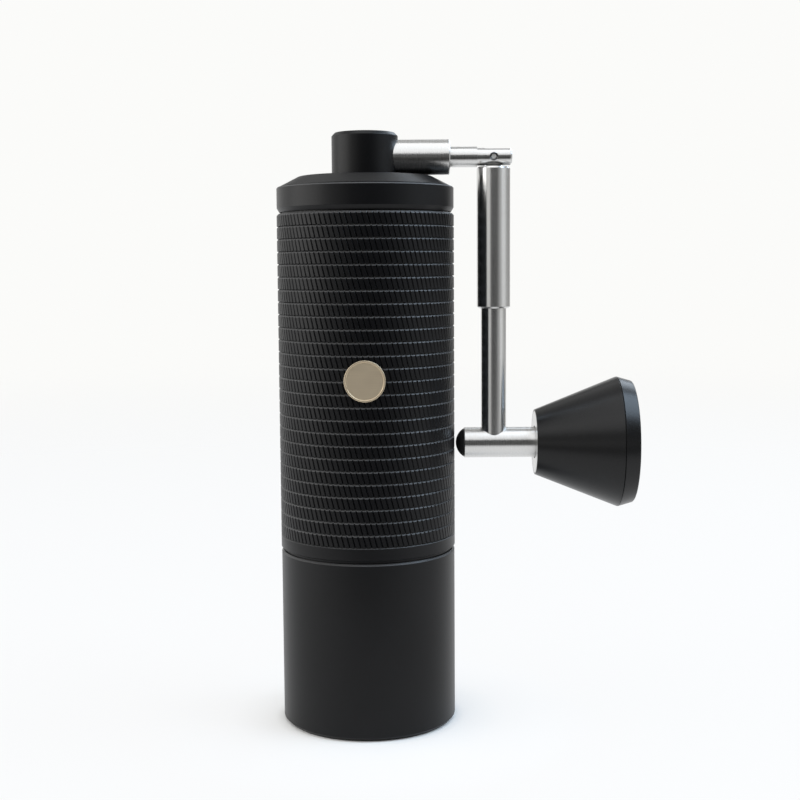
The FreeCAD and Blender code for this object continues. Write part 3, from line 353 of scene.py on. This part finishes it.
def make_crank_hub():
    bore = 4.22
    clip_seat = 5.3
    neck = 5.8
    wall = 9.8
    chamfer = 1.0
    neck_foot = 150.464
    clip_foot = 157.164
    clip_top = 157.964
    bore_top = 160.664
    wall_foot = 163.564
    top = 176.064
    outline = rounded([
        (bore, neck_foot, 0),
        (neck, neck_foot, 0.15),
        (neck, clip_foot, 0),
        (clip_seat, clip_foot, 0),
        (clip_seat, clip_top, 0),
        (neck, clip_top, 0),
        (neck, wall_foot, 0),
        (wall, wall_foot, 0.15),
        (wall, top - chamfer, 0.3),
        (wall - chamfer, top, 0.3),
        (0, top, 0),
    ])
    outline += [(0, bore_top), (bore, bore_top)]
    return lathe("hub_cap", outline, closed=True)


def make_knob():
    axle = 3.18
    bush = 4.15
    tube_room = 4.9
    head_room = 5.1
    cap_seat = 7.0
    ring_seat = 9.32
    face = 9.8
    back = 18.3
    line = 19.35
    cone = 19.48
    rim = 19.55
    ring_depth = 0.8
    inner_bush_start = 2.35
    inner_bush_end = 8.35
    outer_bush_start = 18.1
    outer_bush_end = 24.1
    cone_end = 24.42
    line_middle = 24.56
    rim_start = 24.72
    cap_floor = 27.3
    length = 29.1
    return lathe("knob_cone", rounded([
        (tube_room, ring_depth, 0),
        (ring_seat, ring_depth, 0),
        (ring_seat, 0, 0.05),
        (face, 0, 0.15),
        (cone, cone_end, 0.06),
        (line, line_middle, 0),
        (rim, rim_start, 0.06),
        (back, length, 0.5),
        (cap_seat, length, 0.12),
        (cap_seat, cap_floor, 0),
        (head_room, cap_floor, 0),
        (head_room, outer_bush_end, 0),
        (bush, outer_bush_end, 0),
        (bush, outer_bush_start, 0),
        (axle, outer_bush_start, 0),
        (axle, inner_bush_end, 0),
        (bush, inner_bush_end, 0),
        (bush, inner_bush_start, 0),
        (tube_room, inner_bush_start, 0),
    ]), closed=True, columns=160, place=along_x(KNOB_FACE, TUBE_HEIGHT))


def make_badge():
    """A bare round badge with a thin raised rim."""
    face = 5.3
    rim_inner = 5.42
    edge = 5.9
    face_height = 0.85
    rim_height = 1.0
    return lathe("badge_disc", rounded([
        (0, 0, 0),
        (edge, 0, 0),
        (edge, rim_height, 0.12),
        (rim_inner, rim_height, 0.06),
        (face, face_height, 0.06),
        (0, face_height, 0),
    ]), closed=False, columns=96, place=on_front())


def make_hinge_screw():
    """A pin with a dished face and a six-sided socket in its front end."""
    columns = 48
    back = PIN_HALF_LENGTH
    outline = [
        (0, back, False),
        (PIN_RADIUS - PIN_EDGE, back, False),
        (PIN_RADIUS, back - PIN_EDGE, False),
        (PIN_RADIUS, PIN_EDGE - back, False),
        (PIN_RADIUS - PIN_EDGE, -back, False),
        (PIN_SOCKET / 2, PIN_DISH - back, True),
        (PIN_SOCKET / 2, PIN_SOCKET_DEPTH - back, True),
        (0, PIN_SOCKET_DEPTH - back, False),
    ]
    mesh = bmesh.new()
    rings = []
    for number in range(columns):
        angle = 2 * math.pi * number / columns
        from_flat = (angle + math.pi / 6) % (math.pi / 3) - math.pi / 6
        ring = []
        for radius, depth, six_sided in outline:
            reach = radius / math.cos(from_flat) if six_sided else radius
            across = HINGE_REACH + reach * math.sin(angle)
            up = CRANK_HEIGHT + reach * math.cos(angle)
            ring.append(mesh.verts.new(Vector((across, depth, up)) * MM))
        rings.append(ring)
    skin(mesh, rings, closed=False)
    screw = add_piece("hinge_screw", mesh, SHARP_TURNED)
    for face in screw.data.polygons:
        across = math.hypot(face.center.x - HINGE_REACH * MM, face.center.z - CRANK_HEIGHT * MM)
        if face.normal.y < -EDGE_MOST_RISE and across < PIN_SOCKET / 2 * MM:
            face.material_index = 1
        elif across < (PIN_RADIUS - PIN_EDGE) * MM and face.center.y < 0:
            face.material_index = 2
    return screw


# Springs with closed end turns
def make_spring(name, across, radius, wire, turns, low, high):
    """A round-wire spring about an upright axis, with half a flat turn at each end."""
    sides = 10
    per_turn = 32
    flat_turn = 0.5
    active = turns - 2 * flat_turn
    mesh = bmesh.new()
    rings = []
    for number in range(int(turns * per_turn) + 1):
        turn = number / per_turn
        share = min(max((turn - flat_turn) / active, 0.0), 1.0)
        angle = 2 * math.pi * turn
        height = low + wire / 2 + (high - low - wire) * share
        out = Vector((math.cos(angle), math.sin(angle), 0))
        ring = []
        for side in range(sides):
            around = 2 * math.pi * side / sides
            spot = out * (radius + wire / 2 * math.cos(around))
            spot += Vector((across, 0, height + wire / 2 * math.sin(around)))
            ring.append(mesh.verts.new(spot * MM))
        rings.append(ring)
    for here, there in zip(rings, rings[1:]):
        for side in range(sides):
            after = (side + 1) % sides
            mesh.faces.new((here[side], there[side], there[after], here[after]))
    mesh.faces.new(rings[0])
    mesh.faces.new(rings[-1])
    return add_piece(name, mesh, SHARP_SPRING)


def make_burr_coil():
    return make_spring("burr_coil", across=0, radius=3.75, wire=0.7, turns=5, low=61.78, high=69.0)


def make_sleeve_coil():
    foot = SLEEVE_SPRING_FOOT
    return make_spring(
        "sleeve_coil", across=HINGE_REACH, radius=3.3, wire=0.6, turns=7, low=foot, high=163.414)


# Shader helpers
def combine(tree, operation, first, second):
    """Two values put together by one operation."""
    node = tree.nodes.new("ShaderNodeMath")
    node.operation = operation
    tree.links.new(first, node.inputs[0])
    tree.links.new(second, node.inputs[1])
    return node.outputs["Value"]


def map_range(tree, value, from_ends, to_ends=(0.0, 1.0), kind="LINEAR"):
    """A value carried from one range to another, and held at its ends."""
    node = tree.nodes.new("ShaderNodeMapRange")
    node.interpolation_type = kind
    node.inputs["From Min"].default_value = from_ends[0]
    node.inputs["From Max"].default_value = from_ends[1]
    node.inputs["To Min"].default_value = to_ends[0]
    node.inputs["To Max"].default_value = to_ends[1]
    tree.links.new(value, node.inputs["Value"])
    return node.outputs["Result"]


def fade_between(tree, value, ends):
    """A soft step from nothing at one end to all at the other."""
    return map_range(tree, value, ends, kind="SMOOTHSTEP")


def graded(tree, value, unit, stops, blue):
    """A grey that follows a value through (place, level) stops, with the places given in a unit."""
    first = stops[0][0]
    last = stops[-1][0]
    ramp = tree.nodes.new("ShaderNodeValToRGB")
    marks = ramp.color_ramp.elements
    marks.remove(marks[1])
    for number, (place, level) in enumerate(stops):
        position = (place - first) / (last - first)
        mark = marks[0] if number == 0 else marks.new(position)
        mark.position = position
        mark.color = (level, level, level * blue, 1)
    tree.links.new(map_range(tree, value, (first * unit, last * unit)), ramp.inputs["Fac"])
    return ramp.outputs["Color"]


def mix_shaders(tree, share, first, second):
    """One shader that gives way to another by a share."""
    mix = tree.nodes.new("ShaderNodeMixShader")
    tree.links.new(share, mix.inputs["Fac"])
    tree.links.new(first, mix.inputs[1])
    tree.links.new(second, mix.inputs[2])
    return mix.outputs["Shader"]


# Materials
FINE_DETAIL = 4.0
SLOW_DETAIL = 3.0
SLOW_CLOUD = (60, 60, 60)
# Grain at which a finish has its dark and its light colour, and over which its gloss changes
DARK_STOP = 0.12
LIGHT_STOP = 0.42
GLOSS_GRAIN = (0.3, 0.7)
RELIEF_DEPTH = 0.02
STEEL_RELIEF = 0.01
QUARTER_TURN = 0.25


def new_material(name, settings):
    """A material with the constant values of its shader set."""
    material = bpy.data.materials.new(name)
    material.use_nodes = True
    shader = material.node_tree.nodes["Principled BSDF"]
    for socket, value in settings.items():
        shader.inputs[socket].default_value = value
    return material, material.node_tree, shader


def grain(tree, stretch, detail):
    """Noise in the piece's own coordinates, finer along the axes with a larger stretch."""
    place = tree.nodes.new("ShaderNodeTexCoord")
    mapping = tree.nodes.new("ShaderNodeMapping")
    mapping.inputs["Scale"].default_value = stretch
    noise = tree.nodes.new("ShaderNodeTexNoise")
    noise.inputs["Scale"].default_value = 1.0
    noise.inputs["Detail"].default_value = detail
    tree.links.new(place.outputs["Object"], mapping.inputs["Vector"])
    tree.links.new(mapping.outputs["Vector"], noise.inputs["Vector"])
    return noise.outputs["Fac"]


def make_finish(name, dark, light, roughness, stretch, bump, settings):
    """A finish with fine grain in its colour, roughness and surface, and a slow cloud over the colour."""
    material, tree, shader = new_material(name, settings)
    fine = grain(tree, stretch, FINE_DETAIL)
    slow = grain(tree, SLOW_CLOUD, SLOW_DETAIL)
    ramp = tree.nodes.new("ShaderNodeValToRGB")
    ramp.color_ramp.elements[0].position = DARK_STOP
    ramp.color_ramp.elements[0].color = (*dark, 1)
    ramp.color_ramp.elements[1].position = LIGHT_STOP
    ramp.color_ramp.elements[1].color = (*light, 1)
    tree.links.new(combine(tree, "MULTIPLY", fine, slow), ramp.inputs["Fac"])
    tree.links.new(ramp.outputs["Color"], shader.inputs["Base Color"])
    tree.links.new(map_range(tree, fine, GLOSS_GRAIN, roughness), shader.inputs["Roughness"])
    relief = tree.nodes.new("ShaderNodeBump")
    relief.inputs["Strength"].default_value = bump
    relief.inputs["Distance"].default_value = RELIEF_DEPTH * MM
    tree.links.new(fine, relief.inputs["Height"])
    tree.links.new(relief.outputs["Normal"], shader.inputs["Normal"])
    return material


def turned_steel(name, axis, dark, light, roughness, stretch, drawn_out):
    """Steel with fine lathe lines round an axis, which draw its reflections out along that axis."""
    settings = {"Metallic": 1.0, "Anisotropic": drawn_out, "Anisotropic Rotation": QUARTER_TURN}
    material = make_finish(name, dark, light, roughness, stretch, STEEL_RELIEF, settings)
    tree = material.node_tree
    tangent = tree.nodes.new("ShaderNodeTangent")
    tangent.direction_type = "RADIAL"
    tangent.axis = axis
    tree.links.new(tangent.outputs["Tangent"], tree.nodes["Principled BSDF"].inputs["Tangent"])
    return material


# Each finish: name, dark and light colour, least and most roughness, stretch of its grain, relief, and
# other settings
METAL = {"Metallic": 1.0}
ANODISED_GRAIN = (9000, 9000, 9000)
MOULDED_GRAIN = (2500, 2500, 2500)
RUBBER_GRAIN = (3000, 3000, 3000)
SCREW_GRAIN = (4000, 4000, 4000)
black_anodised = make_finish(
    "black_anodised", (0.0015, 0.0015, 0.002), (0.0035, 0.0035, 0.0043), (0.32, 0.42), ANODISED_GRAIN, 0.3,
    {"Specular IOR Level": 0.24})
# A lighter colour for the up-sloping edges of the barrel, cup and lid: a painted highlight standing in for
# the light these edges catch
painted_edge_highlight = make_finish(
    "painted_edge_highlight", (0.028, 0.028, 0.029), (0.062, 0.062, 0.064), (0.38, 0.48), ANODISED_GRAIN, 0.2,
    {"Specular IOR Level": 0.36})
knob_black = make_finish(
    "knob_black", (0.001, 0.001, 0.0014), (0.0022, 0.0022, 0.0028), (0.26, 0.32), ANODISED_GRAIN, 0.15,
    {"Specular IOR Level": 0.34})
black_rubber = make_finish(
    "black_rubber", (0.006, 0.006, 0.006), (0.012, 0.012, 0.012), (0.62, 0.8), RUBBER_GRAIN, 0.5,
    {"Specular IOR Level": 0.4})
hopper_plastic = make_finish(
    "hopper_plastic", (0.03, 0.03, 0.033), (0.055, 0.055, 0.06), (0.45, 0.6), MOULDED_GRAIN, 0.4,
    {"Specular IOR Level": 0.5})
bush_nylon = make_finish(
    "bush_nylon", (0.6, 0.59, 0.55), (0.74, 0.73, 0.69), (0.4, 0.55), MOULDED_GRAIN, 0.3,
    {"Subsurface Weight": 0.1})
screw_face = make_finish(
    "screw_face", (0.05, 0.05, 0.05), (0.1, 0.1, 0.1), (0.4, 0.55), SCREW_GRAIN, 0.4, METAL)
socket_steel = make_finish(
    "socket_steel", (0.6, 0.6, 0.59), (0.8, 0.8, 0.79), (0.6, 0.75), SCREW_GRAIN, 0.4, METAL)
burr_steel = make_finish(
    "burr_steel", (0.3, 0.3, 0.31), (0.46, 0.46, 0.47), (0.25, 0.42), (900, 900, 7000), 0.5, METAL)
spring_steel = make_finish(
    "spring_steel", (0.4, 0.4, 0.41), (0.58, 0.58, 0.59), (0.2, 0.36), (1200, 1200, 5000), 0.3, METAL)
badge_metal = make_finish(
    "badge_metal", (0.64, 0.53, 0.385), (0.8, 0.68, 0.5), (0.42, 0.56), (40, 40, 9000), 0.35, METAL)

# Each turned steel: name, axis, dark and light colour, least and most roughness, stretch of its grain, and
# how far its reflections are drawn out
# The upright and level steel are one steel in two painted tones: the upright copy lighter, painted light that
# brightens its reflections, and the level copy darker, painted shade that holds down its top highlights
steel_upright = turned_steel(
    "steel_upright", "Z", (0.69, 0.685, 0.675), (0.73, 0.725, 0.715), (0.21, 0.225), (60, 60, 16000), 0.76)
steel_level = turned_steel(
    "steel_level", "X", (0.63, 0.625, 0.615), (0.665, 0.66, 0.65), (0.27, 0.285), (16000, 60, 60), 0.5)
hard_steel = turned_steel(
    "hard_steel", "Z", (0.36, 0.36, 0.37), (0.5, 0.5, 0.51), (0.2, 0.34), (200, 200, 9000), 0.6)

FINISHES = {
    "black_anodised": black_anodised,
    "knob_black": knob_black,
    "black_rubber": black_rubber,
    "hopper_plastic": hopper_plastic,
    "bush_nylon": bush_nylon,
    "brushed_steel": steel_upright,
    "hard_steel": hard_steel,
    "burr_steel": burr_steel,
    "spring_steel": spring_steel,
    "badge_metal": badge_metal,
    "dial_black": black_anodised,
}
# Second materials of built pieces: on the barrel, cup and lid a painted highlight on their up-sloping edges;
# on the hinge screw its socket floor and its face
EXTRA_FINISHES_AND_PAINTED_HIGHLIGHTS = {
    "knurled_barrel": (painted_edge_highlight,),
    "cup_shell": (painted_edge_highlight,),
    "lid_shell": (painted_edge_highlight,),
    "hinge_screw": (socket_steel, screw_face),
}
LEVEL_STEEL = ("stub_tube", "fork_rod", "knob_tube", "knob_face_ring")

slots = {part["node"]: part["material_slot"] for part in frame["record"]["subparts"]}
for name, node in nodes.items():
    finish = steel_level if name in LEVEL_STEEL else FINISHES[slots[name]]
    node.data.materials.clear()
    node.data.materials.append(finish)

# Pieces that stand for the solids, each on its own body
built = (
    (make_barrel(), "barrel", "barrel"),
    (make_catch_cup(), "cup", "catch_cup"),
    (make_lid(), "lid", "lid"),
    (make_crank_hub(), "crank", "crank_hub"),
    (make_knob(), "knob", "knob"),
    (make_badge(), "barrel", "badge"),
    (make_hinge_screw(), "crank", "hinge_pin"),
    (make_burr_coil(), "shaft", "burr_spring"),
    (make_sleeve_coil(), "arm", "sleeve_spring"),
)
for piece, body, node in built:
    piece.data.materials.append(FINISHES[slots[node]])
    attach(piece, body)
    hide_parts(node)
    for finish in EXTRA_FINISHES_AND_PAINTED_HIGHLIGHTS.get(piece.name, ()):
        piece.data.materials.append(finish)
sleeve_coil = built[-1][0]
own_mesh(sleeve_coil)

# Floor, which fades into the white around it and ends in front of the object, in metres
FLOOR_RADIUS = 3.0
FLOOR_FADE = (0.3, 1.6)
FLOOR_FRONT = (-0.14, -0.34)
FLOOR_SETTINGS = {"Base Color": (0.88, 0.88, 0.87, 1), "Roughness": 0.9}
FLOOR_GLOW = (0.955, 0.96, 0.965, 1)
# How much plain white it takes, by the millimetres from the cup's axis: near the foot its own shadow shows
FLOOR_WHITE = (
    (26, 0.05),
    (29, 0.5),
    (42, 0.78),
    (70, 0.92),
)


def whiten(tree, surface, share):
    """A surface that gives way, by a share, to white for the camera, in reflections and through glass."""
    rays = tree.nodes.new("ShaderNodeLightPath")
    mirrored = combine(tree, "MAXIMUM", rays.outputs["Is Glossy Ray"], rays.outputs["Is Transmission Ray"])
    seen = combine(tree, "MAXIMUM", rays.outputs["Is Camera Ray"], mirrored)
    glow = tree.nodes.new("ShaderNodeEmission")
    glow.inputs["Color"].default_value = FLOOR_GLOW
    return mix_shaders(tree, combine(tree, "MULTIPLY", seen, share), surface, glow.outputs["Emission"])


def make_floor():
    mesh = bmesh.new()
    bmesh.ops.create_circle(mesh, cap_ends=True, segments=96, radius=FLOOR_RADIUS)
    data = bpy.data.meshes.new("floor")
    mesh.to_mesh(data)
    mesh.free()
    floor = bpy.data.objects.new("floor", data)
    bpy.context.scene.collection.objects.link(floor)
    material, tree, shader = new_material("floor_white", FLOOR_SETTINGS)
    place = tree.nodes.new("ShaderNodeTexCoord")
    reach = tree.nodes.new("ShaderNodeVectorMath")
    reach.operation = "LENGTH"
    tree.links.new(place.outputs["Object"], reach.inputs[0])
    split = tree.nodes.new("ShaderNodeSeparateXYZ")
    tree.links.new(place.outputs["Object"], split.inputs["Vector"])
    share = graded(tree, reach.outputs["Value"], MM, FLOOR_WHITE, 1.0)
    white = whiten(tree, shader.outputs["BSDF"], share)
    away = fade_between(tree, reach.outputs["Value"], FLOOR_FADE)
    front = fade_between(tree, split.outputs["Y"], FLOOR_FRONT)
    clear = tree.nodes.new("ShaderNodeBsdfTransparent")
    faded = mix_shaders(tree, combine(tree, "MAXIMUM", away, front), white, clear.outputs["BSDF"])
    tree.links.new(faded, tree.nodes["Material Output"].inputs["Surface"])
    data.materials.append(material)


# Studio: a white room behind, a dark room in front, and soft lamps above and beside
# The light of its walls, by the angle from the front in degrees
STUDIO_WALLS = (
    (-180, 0.965),
    (-160, 0.965),
    (-100, 0.95),
    (-60, 0.82),
    (-45, 0.94),
    (-31, 0.93),
    (-20, 0.12),
    (0, 0.06),
    (22, 0.16),
    (42, 0.55),
    (60, 0.74),
    (82, 0.66),
    (100, 0.38),
    (135, 0.33),
    (160, 0.965),
    (180, 0.965),
)
STUDIO_BLUE = 0.985
STUDIO_WHITE = (0.965, 0.965, 0.95, 1)
WHITE_BEHIND = (0.9, 0.97)

# Darker parts of the room, each with the heights and the depths over which it sets in, and the light left:
# the ceiling, its front half, the back wall above the white, the front wall above the eye, and that below it
STUDIO_SHADES = (
    ((0.45, 0.75), (1.5, 1.0), 0.6),
    ((0.45, 0.75), (0.5, 0.15), 0.53),
    ((0.16, 0.3), (0.77, 0.88), 0.1),
    ((0.08, 0.2), (-0.45, -0.7), 0.4),
    ((-0.02, -0.13), (-0.32, -0.68), 0.2),
)


def shade_of(tree, walls, heights, depths, level):
    """How much light is left in a part of the room, between two heights and two places front to back."""
    up = fade_between(tree, walls.outputs["Z"], heights)
    deep = fade_between(tree, walls.outputs["Y"], depths)
    return map_range(tree, combine(tree, "MULTIPLY", up, deep), (0.0, 1.0), (1.0, level))


def make_world():
    """Light from all round, by its angle from the front, with darker parts."""
    world = bpy.data.worlds.new("studio")
    world.use_nodes = True
    bpy.context.scene.world = world
    tree = world.node_tree
    place = tree.nodes.new("ShaderNodeTexCoord")
    walls = tree.nodes.new("ShaderNodeSeparateXYZ")
    tree.links.new(place.outputs["Generated"], walls.inputs["Vector"])
    ahead = tree.nodes.new("ShaderNodeMath")
    ahead.operation = "MULTIPLY"
    ahead.inputs[1].default_value = -1.0
    tree.links.new(walls.outputs["Y"], ahead.inputs[0])
    turn = combine(tree, "ARCTAN2", walls.outputs["X"], ahead.outputs["Value"])
    colour = graded(tree, turn, math.radians(1), STUDIO_WALLS, STUDIO_BLUE)
    strength = None
    for heights, depths, level in STUDIO_SHADES:
        shade = shade_of(tree, walls, heights, depths, level)
        strength = shade if strength is None else combine(tree, "MULTIPLY", strength, shade)
    studio = tree.nodes["Background"]
    tree.links.new(colour, studio.inputs["Color"])
    tree.links.new(strength, studio.inputs["Strength"])
    shown = show_white(tree, studio, walls)
    tree.links.new(shown, tree.nodes["World Output"].inputs["Surface"])


def show_white(tree, studio, walls):
    """The room, white all round to the eye and through glass, and white behind the object in reflections."""
    rays = tree.nodes.new("ShaderNodeLightPath")
    behind = fade_between(tree, walls.outputs["Y"], WHITE_BEHIND)
    mirrored = combine(tree, "MULTIPLY", rays.outputs["Is Glossy Ray"], behind)
    direct = combine(tree, "MAXIMUM", rays.outputs["Is Camera Ray"], rays.outputs["Is Transmission Ray"])
    seen = combine(tree, "MAXIMUM", direct, mirrored)
    white = tree.nodes.new("ShaderNodeBackground")
    white.inputs["Color"].default_value = STUDIO_WHITE
    return mix_shaders(tree, seen, studio.outputs["Background"], white.outputs["Background"])


# Lamps, all turned to the middle of the object, with places and sizes in metres and power in watts
LAMP_TARGET = Vector((0.01, 0, 0.09))


def add_lamp(name, place, width, height, power, colour):
    data = bpy.data.lights.new(name, "AREA")
    data.shape = "RECTANGLE"
    data.size = width
    data.size_y = height
    data.energy = power
    data.color = colour
    lamp = bpy.data.objects.new(name, data)
    lamp.location = place
    lamp.rotation_euler = (LAMP_TARGET - Vector(place)).to_track_quat("-Z", "Y").to_euler()
    bpy.context.scene.collection.objects.link(lamp)


def make_lamps():
    add_lamp("key_left", (-0.8, -0.14, 0.42), width=0.8, height=0.8, power=3.8, colour=(1.0, 0.99, 0.97))
    add_lamp("top_front", (-0.08, -0.38, 0.86), width=0.8, height=1.35, power=4.9, colour=(0.98, 0.99, 1.0))
    add_lamp("window_right", (0.68, -0.06, 0.83), width=0.76, height=0.7, power=9.5, colour=(0.66, 0.82, 1.0))
    add_lamp("window_back", (0.5, 0.75, 0.72), width=0.7, height=0.4, power=2.6, colour=(0.74, 0.86, 1.0))


# Camera at the photograph's place, with its angles in degrees
CAMERA_PLACE = (9.66, -401.9, 136.24)
CAMERA_PITCH = 5.606
CAMERA_YAW = 0.036
CAMERA_ROLL = -0.405
CAMERA_LENS = 60.372
CAMERA_SENSOR = 36.0
CAMERA_NEAR = 0.01


def make_camera():
    pitch = math.radians(CAMERA_PITCH)
    yaw = math.radians(CAMERA_YAW)
    roll = math.radians(CAMERA_ROLL)
    ahead = Vector((math.sin(yaw) * math.cos(pitch), math.cos(yaw) * math.cos(pitch), -math.sin(pitch)))
    level = Vector((math.cos(yaw), -math.sin(yaw), 0))
    upright = level.cross(ahead)
    right = level * math.cos(roll) + upright * math.sin(roll)
    top = upright * math.cos(roll) - level * math.sin(roll)
    turn = Matrix((right, top, -ahead)).transposed().to_4x4()
    data = bpy.data.cameras.new("photo_camera")
    data.sensor_width = CAMERA_SENSOR
    data.lens = CAMERA_LENS
    data.clip_start = CAMERA_NEAR
    camera = bpy.data.objects.new("photo_camera", data)
    camera.matrix_world = Matrix.Translation(Vector(CAMERA_PLACE) * MM) @ turn
    bpy.context.scene.collection.objects.link(camera)
    bpy.context.scene.camera = camera


make_floor()
make_world()
make_lamps()
make_camera()
bpy.context.scene.view_settings.view_transform = "Standard"
